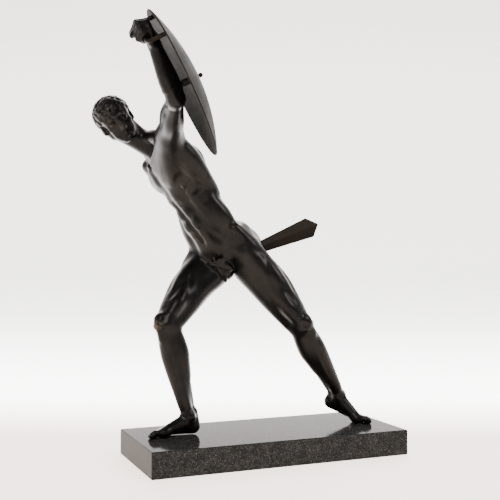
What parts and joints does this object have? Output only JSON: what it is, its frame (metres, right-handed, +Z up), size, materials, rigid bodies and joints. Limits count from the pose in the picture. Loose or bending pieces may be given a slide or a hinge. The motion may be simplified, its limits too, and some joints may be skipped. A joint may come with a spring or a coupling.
{
  "type": "greek warrior statue",
  "caption": "Cast bronze statue of a lunging Greek warrior with a raised round shield and a short sword, on a rectangular polished granite plinth.",
  "frame": {"origin": "middle of the plinth's flat underside", "axes": "+Z up through the figure, +X along the plinth towards the trailing foot, -Y towards the side the statue is seen from"},
  "size_m": [0.3618, 0.2871, 0.4999],
  "materials": {
    "bronze": "dark brown patina, satin",
    "granite": "polished"
  },
  "bodies": {
    "root": {"figure": "bronze", "shield": "bronze", "sword": "bronze", "plinth": "granite"}
  },
  "joints": []
}
